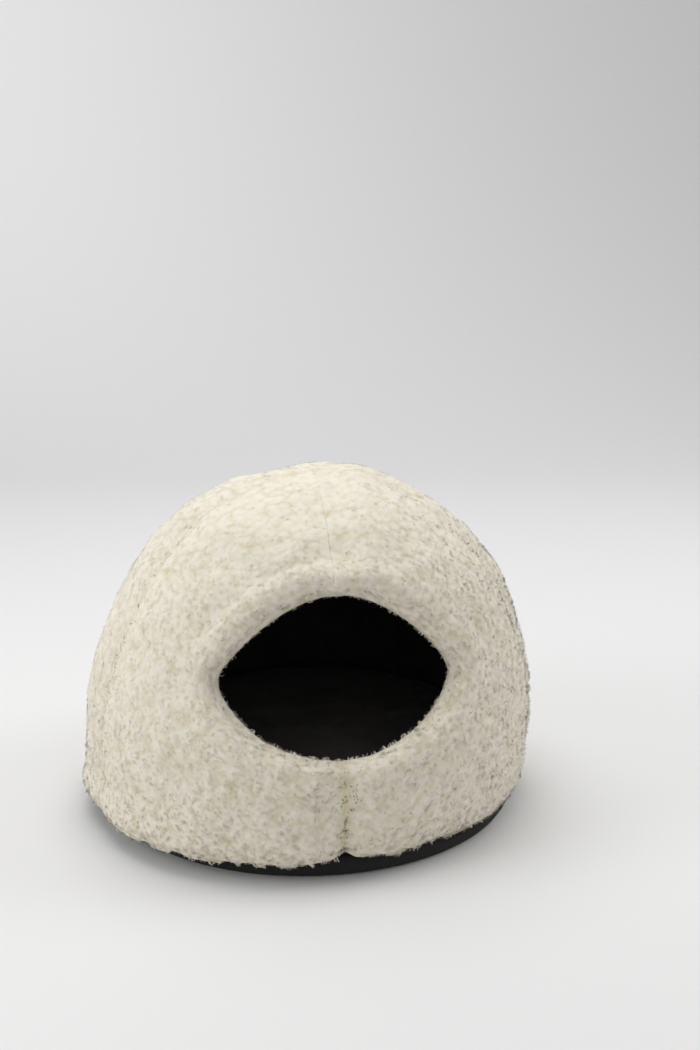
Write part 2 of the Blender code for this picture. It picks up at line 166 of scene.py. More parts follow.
def copy_of(node_name, name):
    """A merged copy of a CAD node's mesh, as a new piece."""
    piece = bpy.data.objects.new(name, frame["nodes"][node_name].data.copy())
    bpy.context.scene.collection.objects.link(piece)
    shape = bmesh.new()
    shape.from_mesh(piece.data)
    bmesh.ops.remove_doubles(shape, verts=shape.verts, dist=1e-6)
    shape.to_mesh(piece.data)
    shape.free()
    return piece


def round_angle(points):
    """Degrees round the dome, from the middle of the mouth towards +X."""
    return np.degrees(np.arctan2(points[:, 0], -points[:, 1])) % 360.0


def settle(points):
    """Where the dome's points lie once the bed has been used for a while."""
    height = points[:, 2]
    up = np.clip(height / WALL_HEIGHT, 0, 1)
    crown = np.clip((height - 0.65 * WALL_HEIGHT) / (0.35 * WALL_HEIGHT), 0, 1)
    left = np.clip(np.cos(np.radians(round_angle(points) - 295.0)), 0, 1)
    shoulder = 0.8 * np.exp(-(((height - 0.30) / 0.03) ** 2))
    side = SIDE_BULGE * (np.exp(-(((height - 0.09) / 0.07) ** 2)) + shoulder)
    hem = HEM_BULGE * np.exp(-(((height - 0.012) / 0.035) ** 2))
    out = points[:, :2] / np.maximum(np.hypot(points[:, 0], points[:, 1]), 1e-6)[:, None]
    moved = points.copy()
    moved[:, :2] += out * ((side + hem) * left)[:, None]
    moved[:, 0] += LEAN * up**1.6
    moved[:, 2] -= SINK * crown**2
    moved[:, 2] += LOBE * crown * np.exp(-((points[:, 0] - 0.040) / 0.030) ** 2)
    return moved


def outward(points):
    """The dome's outward direction at each point, as of an egg with the dome's width and height."""
    rise = np.maximum(points[:, 2] - WIDEST, 0) / (WALL_HEIGHT - WIDEST) ** 2
    way = np.stack([points[:, 0] / WALL_RADIUS**2, points[:, 1] / WALL_RADIUS**2, rise], axis=1)
    return way / np.linalg.norm(way, axis=1)[:, None]


def from_seam(points):
    """How far each point is from the nearest seam, round the dome."""
    turn = round_angle(points) % GORE_ANGLE
    across = np.minimum(turn, GORE_ANGLE - turn)
    return np.hypot(points[:, 0], points[:, 1]) * np.radians(across)


def mouth_edge(count):
    """Points round the tip of the mouth's rolled edge, and their turn round it from +X."""
    turn = 2 * pi * np.arange(count) / count
    rise = np.where(np.sin(turn) > 0, MOUTH_RISE, -MOUTH_DROP)
    height = MOUTH_HEIGHT + rise * np.abs(np.sin(turn)) ** MOUTH_POWER
    above = np.clip((height - WIDEST) / (WALL_HEIGHT - WIDEST), 0, 1)
    radius = WALL_RADIUS * (1 - above**SHOULDER_POWER) ** (1 / CROWN_POWER) - ROLL_DEPTH / 2
    angle = np.radians(MOUTH_ANGLE * np.cos(turn))
    return turn, np.stack([radius * np.sin(angle), -radius * np.cos(angle), height], axis=1)


EDGE_TURN, EDGE = mouth_edge(180)


def near_mouth(points):
    """How far each point is from the tip of the rolled edge, and its turn round the mouth."""
    far = np.linalg.norm(points[:, None, :] - EDGE[None, :, :], axis=2)
    return far.min(axis=1), EDGE_TURN[far.argmin(axis=1)]


# Polyurethane foam, cut from a block: open cells of about 1 mm show as fine pits, painted darker as
# shade.
foam, foam_shader = finish("Polyurethane foam, cut from a block", "#DCD8C4", 0.9)
foam_place = add(foam, "ShaderNodeTexCoord").outputs["Object"]
foam_cells = add(foam, "ShaderNodeTexVoronoi", {"Vector": foam_place, "Scale": 900.0})
foam.node_tree.links.new(
    colours(foam, foam_cells.outputs["Distance"], (0.1, "#B9B49C"), (0.6, "#E4E0CE")),
    foam_shader.inputs["Base Color"],
)
foam_pits = add(
    foam, "ShaderNodeBump", {"Height": foam_cells.outputs["Distance"], "Distance": 0.0006}
)
foam.node_tree.links.new(foam_pits.outputs["Normal"], foam_shader.inputs["Normal"])

for gore in GORES:
    piece = copy_of(f"foam_{gore}", f"foam_wall_{gore}")
    modify(piece, "SUBSURF", levels=2, render_levels=2, subdivision_type="SIMPLE")
    places, way = points_of(piece), normals_of(piece)
    outer = np.clip(2 * (way * outward(places)).sum(axis=1), 0, 1)
    pressed = np.exp(-((from_seam(places) / 0.020) ** 2))
    pressed = pressed + np.exp(-(((near_mouth(places)[0] - CREASE_FROM_MOUTH) / 0.014) ** 2))
    places = places - outward(places) * (SEAM_SQUEEZE * outer * np.minimum(pressed, 1.2))[:, None]
    move_to(piece, settle(places))
    wear(piece, foam)
    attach(piece, "cave")
    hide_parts(f"foam_{gore}")

slab = copy_of("base_foam", "foam_slab")
modify(slab, "BEVEL", width=0.004, segments=3, limit_method="ANGLE", angle_limit=radians(50))
slab.data.shade_smooth()
wear(slab, foam)
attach(slab, "cave")
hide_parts("base_foam")

# ---- Fleece gores -------------------------------------------------------------------------
# Five gores of cream sherpa fleece, 14 mm thick with its crimped polyester pile, sewn together
# at the edges. The two front ones roll over the foam's edge to make the mouth.
SEAM_OVERLAP = 0.0012  # the gores are sewn through each other's edges by this much
PUFF_PRESSURE, PUFF_CAP = 4.0, 0.006  # how hard a pad is blown up, and how far at most
PILE_ROOM = 0.0048  # how far the clumps' clefts keep inside the pile's tips
CLUMP, CURL = 0.0082, 0.0040  # the pile's clumps, and the curls in them
LUMP_HEIGHT, CREASE_DEPTH = 0.0026, 0.0040  # the pad's soft lumps, and the crease round the roll
DEEPEST_CLEFT = 0.0088  # the clefts stop short of the foam
HEM_CLEAR, HEM_NOTCH = 0.0035, 0.010  # the hem's height above the floor, and its notch at the seam
SHELL_VOXEL = 0.0064
TUFT_HASH = np.array([[127.1, 269.5, 419.2], [311.7, 183.3, 371.9], [74.7, 246.1, 151.7]])

foam_points, foam_faces = [], []
for gore in GORES:
    mesh = frame["nodes"][f"foam_{gore}"].data
    start = len(foam_points)
    foam_points += [vertex.co.copy() for vertex in mesh.vertices]
    foam_faces += [[start + i for i in face.vertices] for face in mesh.polygons]
foam_tree = BVHTree.FromPolygons(foam_points, foam_faces)


def beyond_foam(points):
    """How far each point is from the foam: above 0 outside it, and below 0 inside it."""
    away = np.array([np.subtract(p, foam_tree.find_nearest(p)[0]) for p in points])
    return np.einsum("ij,ij->i", away, outward(points))


def puff(piece, pressure, cap):
    """Blows up a piece as a cloth bag, held where its group Sewn says, and applies the result."""
    before = points_of(piece)
    cloth = piece.modifiers.new("Cloth", "CLOTH")
    cloth.settings.use_pressure = True
    cloth.settings.uniform_pressure_force = pressure
    cloth.settings.effector_weights.gravity = 0.0
    cloth.settings.vertex_group_mass = "Sewn"
    for step in range(1, 21):
        bpy.context.scene.frame_set(step)
    take(piece)
    bpy.ops.object.modifier_apply(modifier="Cloth")
    moved = points_of(piece) - before
    far = np.linalg.norm(moved, axis=1)[:, None]
    move_to(piece, before + moved * np.minimum(1, cap / np.maximum(far, 1e-9)))
    bpy.context.scene.frame_set(1)


def lumps(points, size, seed):
    """Soft random lumps about size metres across, from -1 to 1."""
    shift = Vector((seed * 7.31, seed * 3.17, seed * 5.77))
    values = [noise.fractal(Vector(p) / size + shift, 1.0, 2.0, 2) for p in points]
    return np.array(values).clip(-1, 1)


def tufts(points, size):
    """How far each point is from the middle of the nearest tuft, and where that middle is.

    There is one tuft somewhere in each cube of the given size.
    """
    cube = np.floor(points / size)
    best = np.full(len(points), np.inf)
    middle = np.zeros_like(points)
    for step in np.ndindex(3, 3, 3):
        corner = cube + np.array(step) - 1
        chance = np.sin(corner @ TUFT_HASH) * 437.5453
        centre = (corner + chance - np.floor(chance)) * size
        away = ((points - centre) ** 2).sum(axis=1)
        nearer = away < best
        best[nearer], middle[nearer] = away[nearer], centre[nearer]
    return np.sqrt(best), middle


def swirl(points, size):
    """A slow wandering of places about size metres long, which makes round tufts irregular."""
    return np.sin(points[:, [1, 2, 0]] / size + 1.3 * np.sin(points[:, [2, 0, 1]] / (1.7 * size)))


def curly(points):
    """How open the pile's curls are: least on the top and the left, where it is brushed flat."""
    angle = np.radians(round_angle(points))
    front = 0.5 + 0.5 * np.cos(angle - radians(22))
    low = 1 - np.clip((points[:, 2] - 0.235) / 0.08, 0, 1)
    left = np.clip(np.cos(angle - radians(290)), 0, 1) * np.clip((points[:, 2] - 0.06) / 0.1, 0, 1)
    return np.clip(0.25 + 0.85 * front * low - 0.35 * left, 0.12, 1.0)


def mark(piece, name, values):
    """Stores a value for each of a piece's points."""
    layer = piece.data.attributes.new(name, "FLOAT", "POINT")
    layer.data.foreach_set("value", np.asarray(values, dtype=np.float32))


def marked(piece, name):
    """The values that mark stored."""
    values = np.empty(len(piece.data.vertices), dtype=np.float32)
    piece.data.attributes[name].data.foreach_get("value", values)
    return values.astype(float)


# The gores are blown up and shaped while they are still one shell, so that the sewn seams meet.
patterns = []
for gore in GORES:
    pattern = copy_of(f"fleece_{gore}", f"pattern_{gore}")
    places = points_of(pattern)
    middle = radians(GORE_ANGLE * (GORES.index(gore) + 0.5))
    aside = np.radians(round_angle(places)) - middle
    aside = (aside + pi) % (2 * pi) - pi
    radius = np.hypot(places[:, 0], places[:, 1])
    edge = (from_seam(places) < 0.001) & (radius > 0.006)
    wider = aside + np.where(edge, np.sign(aside) * SEAM_OVERLAP / np.maximum(radius, 0.006), 0)
    radius = np.where(radius < 0.006, 0.0, radius)
    places[:, 0], places[:, 1] = radius * np.sin(middle + wider), -radius * np.cos(middle + wider)
    move_to(pattern, places)
    patterns.append(pattern)
take(patterns[0])
for pattern in patterns:
    pattern.select_set(True)
bpy.ops.object.join()
shell = bpy.context.object
modify(shell, "REMESH", mode="VOXEL", voxel_size=SHELL_VOXEL, adaptivity=0.0)
places = points_of(shell)
beyond = beyond_foam(places)
held = (from_seam(places) < 0.004) | (beyond < 0.003) | (places[:, 2] < 0.016)
group = shell.vertex_groups.new(name="Sewn")
group.add([int(i) for i in np.flatnonzero(held)], 1.0, "REPLACE")
puff(shell, PUFF_PRESSURE, PUFF_CAP)
rolled, turn = near_mouth(places)
# The hem of the roll is stitched down about 40 mm from its edge, deepest low on the right.
pull = 0.06 + 0.7 * np.maximum(0, np.cos(turn - radians(-38)))
pull = pull + 0.4 * np.maximum(0, np.cos(turn - radians(150)))
mark(shell, "crease", pull * np.exp(-(((rolled - CREASE_FROM_MOUTH) / 0.007) ** 2)))
mark(shell, "outer", np.clip((beyond + 0.006) / 0.010, 0, 1))
mark(shell, "lump", lumps(places, 0.045, 1))
mark(shell, "above_mouth", (places[:, 2] > 0.2) & (places[:, 1] < 0))
modify(shell, "SUBSURF", levels=2, render_levels=2)

places, way = points_of(shell), normals_of(shell)
outer, curl = marked(shell, "outer"), curly(places)
clump_far, _ = tufts(places + 0.0016 * swirl(places, 0.0043), CLUMP)
curl_far, _ = tufts(places + 0.0010 * swirl(places, 0.0029), CURL)
pile = np.clip(1 - 0.8 * (clump_far / CLUMP) ** 1.5 - 0.3 * curl_far / CURL, 0, 1)
# The front seam is buried in the pile above the mouth, and pulled tight below it.
angle = round_angle(places)
front_seam = (angle < GORE_ANGLE / 2) | (angle > 360 - GORE_ANGLE / 2)
above_mouth = marked(shell, "above_mouth") * front_seam
below_mouth = front_seam * (places[:, 2] < 0.16)
seam = np.exp(-((from_seam(places) / 0.0055) ** 2))
seam_depth = 0.0012 + 0.0006 * below_mouth - 0.0036 * above_mouth
rise = LUMP_HEIGHT * marked(shell, "lump") - CREASE_DEPTH * marked(shell, "crease")
rise = rise - seam_depth * seam - PILE_ROOM
rise += (0.0004 + 0.0014 * curl) * (pile - 0.3)
thin = np.exp(-((from_seam(places) / 0.015) ** 2))  # the gores are pinched thinner at their seams
rise = np.maximum(rise, 0.0026 * thin - DEEPEST_CLEFT)
places = places + way * (rise * outer)[:, None]
# The hem hangs a little clear of the floor, and the front seam gathers it up into a notch.
notch = HEM_NOTCH * np.exp(-((from_seam(places) / 0.007) ** 2)) * front_seam
low = np.clip((0.035 - places[:, 2]) / 0.025, 0, 1)
places[:, 2] += (HEM_CLEAR + notch) * low
move_to(shell, settle(places))
# Painted shade: the colour is darker in the clefts between clumps and along the seams, most of all
# below the mouth.
seam_shade = 1 - 0.8 * seam * (0.35 + 0.65 * below_mouth) * (1 - above_mouth)
mark(shell, "painted_cleft_and_seam_shade", pile * seam_shade)

# Sherpa fleece, knitted polyester: matt and ivory, painted darker and warmer in its clefts and
# seams as shade.
fleece, fleece_shader = finish(
    "Sherpa fleece, knitted polyester", "#EEEBDF", 0.95, Sheen_Weight=0.2, Sheen_Roughness=0.6,
)
fleece_shade = add(fleece, "ShaderNodeAttribute", attribute_name="painted_cleft_and_seam_shade").outputs["Fac"]
fleece.node_tree.links.new(
    colours(fleece, fleece_shade, (0.0, "#CFC4A6"), (0.35, "#DDD5C0"), (0.7, "#E5DFD0")),
    fleece_shader.inputs["Base Color"],
)

for number, gore in enumerate(GORES):
    piece = bpy.data.objects.new(f"fleece_pad_{gore}", shell.data.copy())
    bpy.context.scene.collection.objects.link(piece)
    take(piece)
    bpy.ops.object.mode_set(mode="EDIT")
    for seam_angle, side in ((number * GORE_ANGLE, 1), ((number + 1) * GORE_ANGLE, -1)):
        bpy.ops.mesh.select_all(action="SELECT")
        turn = radians(seam_angle)
        bpy.ops.mesh.bisect(
            plane_co=(0.0, 0.0, 0.0), plane_no=(side * cos(turn), side * sin(turn), 0.0),
            use_fill=True, clear_inner=True, clear_outer=False,
        )
    bpy.ops.object.mode_set(mode="OBJECT")
    piece.data.shade_smooth()
    for face in piece.data.polygons:
        face.use_smooth = len(face.vertices) < 9  # all but the flat faces of the cut
    wear(piece, fleece)
    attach(piece, "cave")
    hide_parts(f"fleece_{gore}")

# ---- Wool locks ---------------------------------------------------------------------------
# The pile is crimped fibre, which clings together in tufts. Each strand is a tapering
# three-sided lock of fibres about 5 mm long, rooted in the backing and drawn to its tuft's tip.
LOCKS_PER_GORE = 15000
LOCK_LENGTH, LOCK_THICK = 0.0048, 0.00066
LOCK_STEPS = np.array([0.0, 0.55, 1.0])
LOCK_WIDTHS = (0.9, 1.0)
LOCK_BANDS = [(k, (k + 1) % 3, 3 + (k + 1) % 3, 3 + k) for k in range(3)]
LOCK_TIPS = [(3 + k, 3 + (k + 1) % 3, 6) for k in range(3)]
LOCK_FLAT = 0.4  # the strands are pressed flat against each other
LOCK_NORMAL_BLEND = 0.93  # a tuft catches the light as a whole, more than fibre by fibre


def unit(vectors):
    """Vectors of the same directions, each 1 long."""
    return vectors / np.maximum(np.linalg.norm(vectors, axis=-1, keepdims=True), 1e-9)


def locks(roots, way, short, chance):
    """Ring points and their normals for a lock at each root, which leans the way its tuft does."""
    count = len(roots)
    curl = curly(roots)[:, None]
    brim = np.exp(-((near_mouth(roots)[0] / 0.012) ** 2))[:, None]  # the lip's pile stands up
    _, middle = tufts(roots + 0.0016 * swirl(roots, 0.0043), CLUMP)
    downhill = np.array([0.0, 0.0, -1.0]) + 0.5 * unit(roots * np.array([1.0, 1.0, 0.0]))
    down = unit(downhill - way * (downhill * way).sum(axis=1)[:, None])
    across = np.cross(way, down)
    own = np.sin((middle @ TUFT_HASH)[:, :1] * 97.0)
    turn = own * (0.5 + 2.2 * curl) + 0.5 * np.sin(roots[:, :1] / 0.019 + roots[:, 2:] / 0.023)
    turn = turn + chance.normal(0, 0.30, (count, 1))
    lean = np.cos(turn) * down + np.sin(turn) * across
    length = LOCK_LENGTH * chance.uniform(0.7, 1.2, (count, 1)) * (1.1 - 0.3 * curl)
    length = length * short[:, None]
    off_seam = np.clip(from_seam(roots) / 0.010, 0, 1)[:, None]
    lift = 0.0001 + 0.0004 * curl + 0.0014 * brim * off_seam + chance.uniform(0, 0.0004, (count, 1))
    inward = middle - roots
    inward = inward - way * (inward * way).sum(axis=1)[:, None]
    drawn = 0.2 + 0.4 * curl
    tip = roots + length * lean + lift * way
    tip = tip + drawn * (roots + inward + 0.45 * length * lean + (lift + 0.0010 * curl) * way - tip)
    bend = 0.0014 * chance.normal(0, 1, (count, 1)) * np.cross(way, lean)
    knee = (roots + tip) / 2 + (0.0001 + 0.0008 * curl) * way + bend
    base = roots - 0.0008 * way
    t = LOCK_STEPS[None, :, None]
    centres = (1 - t) ** 2 * base[:, None] + 2 * t * (1 - t) * knee[:, None] + t**2 * tip[:, None]
    ahead = unit(2 * (1 - t) * (knee - base)[:, None] + 2 * t * (tip - knee)[:, None])
    side = unit(np.cross(way[:, None, :], ahead))
    over = np.cross(ahead, side)
    thick = LOCK_THICK * chance.uniform(0.75, 1.25, (count, 1)) * (0.6 + 0.4 * curl)
    points, normals = [], []
    for ring, width in enumerate(LOCK_WIDTHS):
        for corner in range(3):
            a = 2 * pi * corner / 3 + pi / 6
            away = cos(a) * side[:, ring] + LOCK_FLAT * sin(a) * over[:, ring]
            points.append(centres[:, ring] + away * thick * width / 2)
            normals.append(unit((1 - LOCK_NORMAL_BLEND) * unit(away) + LOCK_NORMAL_BLEND * way))
    points.append(centres[:, -1])
    normals.append(unit((1 - LOCK_NORMAL_BLEND) * ahead[:, -1] + LOCK_NORMAL_BLEND * way))
    shade = 0.5 + 0.35 * own[:, 0] + chance.uniform(-0.15, 0.15, count)
    return np.stack(points, axis=1), np.stack(normals, axis=1), shade


# Crimped polyester pile: matt and pale, with a soft bloom at grazing angles.
wool, wool_shader = finish(
    "Sherpa fleece pile, crimped polyester", "#F1EDE1", 0.9, Sheen_Weight=0.2, Sheen_Roughness=0.6,
)
wool_shader.inputs["Sheen Tint"].default_value = linear("#FFF8EA")
root_to_tip = add(wool, "ShaderNodeAttribute", attribute_name="root_to_tip").outputs["Fac"]
tone = add(wool, "ShaderNodeAttribute", attribute_name="tone").outputs["Fac"]
# Painted shade: each lock is a little darker towards its root, deep in the pile.
root_shade_colour = colours(wool, root_to_tip, (0.0, "#DFD8C5"), (0.5, "#E3DDCC"), (1.0, "#E7E1D2"))
dye = colours(wool, tone, (0.0, "#FAF6EC"), (1.0, "#FFFFFF"))
mixed = add(
    wool, "ShaderNodeMix", {0: 1.0, 6: root_shade_colour, 7: dye}, data_type="RGBA", blend_type="MULTIPLY"
)
wool.node_tree.links.new(mixed.outputs[2], wool_shader.inputs["Base Color"])

all_roots, all_ways, all_edges = points_of(shell), normals_of(shell), marked(shell, "outer")
gore_of = (round_angle(all_roots) // GORE_ANGLE).astype(int)
bpy.data.objects.remove(shell)
for number, gore in enumerate(GORES):
    chance = np.random.default_rng(40 + number)
    mine = gore_of == number
    roots, way, edge = all_roots[mine], all_ways[mine], all_edges[mine]
    likely = (0.10 + 0.90 * curly(roots)) * (edge > 0.15) * (roots[:, 2] > 0.012)
    grows = np.flatnonzero(chance.uniform(0, 1, len(roots)) < likely)
    grows = chance.permutation(grows)[:LOCKS_PER_GORE]
    roots, way = roots[grows] + chance.normal(0, 0.0005, (len(grows), 3)), way[grows]
    points, normals, shade = locks(roots, way, 0.35 + 0.65 * edge[grows], chance)
    count, each = points.shape[:2]
    starts = np.arange(count)[:, None, None] * each
    bands = (starts + np.array(LOCK_BANDS)[None]).reshape(-1, 4)
    tips = (starts + np.array(LOCK_TIPS)[None]).reshape(-1, 3)
    mesh = bpy.data.meshes.new(f"wool_{gore}")
    mesh.from_pydata(points.reshape(-1, 3), [], bands.tolist() + tips.tolist())
    shares = np.repeat(LOCK_STEPS, (3, 3, 1))
    for name, values in (("root_to_tip", np.tile(shares, count)), ("tone", np.repeat(shade, each))):
        layer = mesh.attributes.new(name, "FLOAT", "POINT")
        layer.data.foreach_set("value", values.astype(np.float32))
    mesh.shade_smooth()
    mesh.normals_split_custom_set_from_vertices(normals.reshape(-1, 3))
    piece = bpy.data.objects.new(f"wool_{gore}", mesh)
    bpy.context.scene.collection.objects.link(piece)
    wear(piece, wool)
    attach(piece, "cave")

# ---- Lining -------------------------------------------------------------------------------
# Five gores and a floor of black short-pile velour, about 2 mm thick. They are sewn to the
# turned-in fleece round the mouth and stretched over the foam, so they pucker a little.
LINING_THICK = 0.0018

# Velour, knitted polyester: nearly black, with a pile too short to see but for its bloom.
velour, velour_shader = finish(
    "Velour, knitted polyester", "#1E1C1B", 0.85, Sheen_Weight=0.35, Sheen_Roughness=0.4,
)
velour_shader.inputs["Sheen Tint"].default_value = linear("#8A8680")
velour_place = add(velour, "ShaderNodeTexCoord").outputs["Object"]
velour_pile = add(
    velour, "ShaderNodeTexNoise", {"Vector": velour_place, "Scale": 700.0, "Detail": 3.0}
)
velour_nap = add(
    velour, "ShaderNodeTexNoise", {"Vector": velour_place, "Scale": 22.0, "Detail": 2.0}
)
velour.node_tree.links.new(
    colours(velour, velour_nap.outputs["Fac"], (0.35, "#252423"), (0.65, "#333231")),
    velour_shader.inputs["Base Color"],
)
velour_bump = add(
    velour, "ShaderNodeBump", {"Height": velour_pile.outputs["Fac"], "Distance": 0.0008}
)
velour.node_tree.links.new(velour_bump.outputs["Normal"], velour_shader.inputs["Normal"])

for gore in GORES:
    piece = copy_of(f"lining_{gore}", f"lining_cloth_{gore}")
    skin = bmesh.new()
    skin.from_mesh(piece.data)
    skin.normal_update()
    middles = np.array([face.calc_center_median() for face in skin.faces])
    away = outward(middles)
    hidden = [f for f, way in zip(list(skin.faces), away) if f.normal.dot(Vector(way)) > -0.5]
    bmesh.ops.delete(skin, geom=hidden, context="FACES")
    skin.to_mesh(piece.data)
    skin.free()
    take(piece)
    bpy.ops.object.mode_set(mode="EDIT")
    bpy.ops.mesh.select_all(action="SELECT")
    bpy.ops.mesh.tris_convert_to_quads(face_threshold=radians(60), shape_threshold=radians(60))
    bpy.ops.object.mode_set(mode="OBJECT")
    modify(piece, "SUBSURF", levels=3, render_levels=3, boundary_smooth="PRESERVE_CORNERS")
    places = points_of(piece)
    away = from_seam(places)
    pucker = 0.0030 * lumps(places, 0.060, 5) + 0.0008 * lumps(places, 0.014, 6)
    pucker = pucker * np.clip(away / 0.015, 0, 1) - 0.0012 * np.exp(-((away / 0.004) ** 2))
    places = settle(places - outward(places) * pucker[:, None])
    # The gores are sewn edge over edge, so each one reaches just past its seams.
    middle = radians(GORE_ANGLE * (GORES.index(gore) + 0.5))
    aside = (np.radians(round_angle(places)) - middle + pi) % (2 * pi) - pi
    radius = np.hypot(places[:, 0], places[:, 1])
    aside = aside + np.sign(aside) * 0.0006 * (away < 0.001) / np.maximum(radius, 0.006)
    places[:, 0], places[:, 1] = radius * np.sin(middle + aside), -radius * np.cos(middle + aside)
    move_to(piece, places)
    modify(piece, "SOLIDIFY", thickness=LINING_THICK, offset=-1.0)
    piece.data.shade_smooth()
    wear(piece, velour)
    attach(piece, "cave")
    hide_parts(f"lining_{gore}")

low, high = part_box("lining_floor")
bpy.ops.object.select_all(action="DESELECT")
bpy.ops.mesh.primitive_cylinder_add(
    vertices=120, radius=high[0], depth=high[2] - low[2],
    location=(0.0, 0.0, (low[2] + high[2]) / 2),
)
floor_cloth = bpy.context.object
floor_cloth.name = "lining_floor_cloth"
bpy.ops.object.transform_apply(location=True, rotation=True, scale=True)
modify(floor_cloth, "BEVEL", width=0.0008, segments=3, limit_method="ANGLE")
floor_cloth.data.shade_smooth()
wear(floor_cloth, velour)
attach(floor_cloth, "cave")
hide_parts("lining_floor")

# ---- Base cover ---------------------------------------------------------------------------
# A shallow pan of black non-slip cloth under the foam slab, sewn to the fleece's hem. Its side
# bulges a little where the slab presses it out, and its underside carries rubber dots.
BASE_THICK = 0.0016
BASE_STEPS = 120
BASE_PROFILE = (
    (0.000, 0.0000), (0.090, 0.0000), (0.180, 0.0000), (0.1945, 0.0000), (0.1990, 0.0016),
    (0.2020, 0.0060), (0.2028, 0.0120), (0.2005, 0.0180), (0.1970, 0.0225),
)
DOT_SPACING = 0.008
BASE_SPREAD, BASE_TUCK = 0.030, 0.030  # how far it spreads at the left, and draws in at the right

base_mesh = bpy.data.meshes.new("base_cloth")
base_edges = [(i, i + 1) for i in range(len(BASE_PROFILE) - 1)]
base_mesh.from_pydata([(r, 0.0, z) for r, z in BASE_PROFILE], base_edges, [])
base = bpy.data.objects.new("base_cloth", base_mesh)
bpy.context.scene.collection.objects.link(base)
take(base)
bpy.ops.object.mode_set(mode="EDIT")
bpy.ops.mesh.select_all(action="SELECT")
bpy.ops.mesh.spin(steps=BASE_STEPS, angle=2 * pi, center=(0.0, 0.0, 0.0), axis=(0.0, 0.0, 1.0))
bpy.ops.mesh.select_all(action="SELECT")
bpy.ops.mesh.remove_doubles(threshold=1e-5)
bpy.ops.mesh.normals_make_consistent(inside=False)
bpy.ops.object.mode_set(mode="OBJECT")
places = points_of(base)
rim = np.clip(places[:, 2] / 0.010, 0, 1)
angle = np.radians(round_angle(places))
spread = 1 + rim * (0.010 * np.sin(angle * 3 + 1.0) + 0.006 * np.sin(angle * 7)) * 0.35
spread += rim * BASE_SPREAD * np.clip(np.cos(angle - radians(300)), 0, 1) ** 2
spread -= BASE_TUCK * np.clip(np.cos(angle - radians(55)), 0, 1) ** 2
places[:, :2] *= spread[:, None]
move_to(base, places)
modify(base, "SOLIDIFY", thickness=BASE_THICK, offset=-1.0)
base.data.shade_smooth()

# Non-slip cloth, woven polyester with PVC dots: black and dull, a fine weave with 8 mm spaced dots.
base_cloth, base_shader = finish("Non-slip cloth, woven polyester with PVC dots", "#131313", 0.8)
base_place = add(base_cloth, "ShaderNodeTexCoord").outputs["Object"]
base_weave = add(base_cloth, "ShaderNodeTexVoronoi", {"Vector": base_place, "Scale": 1400.0})
base_dots = add(
    base_cloth, "ShaderNodeTexVoronoi",
    {"Vector": base_place, "Scale": 1 / DOT_SPACING, "Randomness": 0.0},
)
base_dot = add(base_cloth, "ShaderNodeMapRange", {
    "Value": base_dots.outputs["Distance"],
    "From Min": 0.16, "From Max": 0.24, "To Min": 1.0, "To Max": 0.0,
})
base_high = add(
    base_cloth, "ShaderNodeMath",
    {0: base_dot.outputs["Result"], 1: base_weave.outputs["Distance"]}, operation="ADD",
)
base_bump = add(
    base_cloth, "ShaderNodeBump", {"Height": base_high.outputs["Value"], "Distance": 0.0005}
)
base_cloth.node_tree.links.new(base_bump.outputs["Normal"], base_shader.inputs["Normal"])
base_cloth.node_tree.links.new(
    colours(base_cloth, base_weave.outputs["Distance"], (0.2, "#080808"), (0.8, "#111111")),
    base_shader.inputs["Base Color"],
)
wear(base, base_cloth)
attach(base, "cave")
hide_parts("base_cover")

# ---- Cushion ------------------------------------------------------------------------------
# A loose round cushion on the floor: polyester wadding in a black velour cover, made of a top
# and a bottom panel and a side band, which the zip closes at the back.
CUSHION_PINCH = 0.0016  # how deep the seams round the cushion's edges are drawn in
CUSHION_HOLLOW = 0.006  # how far the top has sunk where the cat lies
COVER_THICK = 0.0012
BAG_VOXEL = 0.005
ZIP_FROM, ZIP_TO = 126.0, 234.0
ZIP_ROOM, ZIP_ROOM_FROM = 0.0040, 0.150  # how far the wadding stands back, and from what radius

parts = [copy_of(name, f"bag_{name}") for name in (
    "cushion_wadding", "cushion_top_panel", "cushion_side_band", "cushion_bottom_panel",
    "zip_lower_half", "zip_upper_half",
)]
take(parts[0])
for part in parts:
    part.select_set(True)
bpy.ops.object.join()
bag = bpy.context.object
bag.name = "cushion_filling"
modify(bag, "REMESH", mode="VOXEL", voxel_size=BAG_VOXEL, adaptivity=0.0)
bottom_seam = (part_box("cushion_bottom_panel")[1][2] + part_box("cushion_side_band")[0][2]) / 2
top_seam = (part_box("cushion_side_band")[1][2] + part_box("cushion_top_panel")[0][2]) / 2
places = points_of(bag)
held = places[:, 2] < top_seam + 0.002
group = bag.vertex_groups.new(name="Sewn")
group.add([int(i) for i in np.flatnonzero(held)], 1.0, "REPLACE")
puff(bag, PUFF_PRESSURE, PUFF_CAP)
modify(bag, "SUBSURF", levels=1, render_levels=1)
places, way = points_of(bag), normals_of(bag)
reach = np.hypot(places[:, 0], places[:, 1])
top = np.clip((places[:, 2] - top_seam) / 0.004, 0, 1)
rim = np.clip((reach - 0.140) / 0.015, 0, 1)
drawn = sum(np.exp(-(((places[:, 2] - seam) / 0.0022) ** 2)) for seam in (bottom_seam, top_seam))
rise = top * (0.0022 * lumps(places, 0.055, 8) + 0.0009 * lumps(places, 0.016, 9))
hollow = CUSHION_HOLLOW * np.exp(-((reach / 0.095) ** 2))
rise -= top * hollow + CUSHION_PINCH * drawn * rim + COVER_THICK
places = places + way * rise[:, None]
places[:, 2] = np.maximum(places[:, 2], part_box("cushion_bottom_panel")[0][2] + COVER_THICK)
move_to(bag, places)
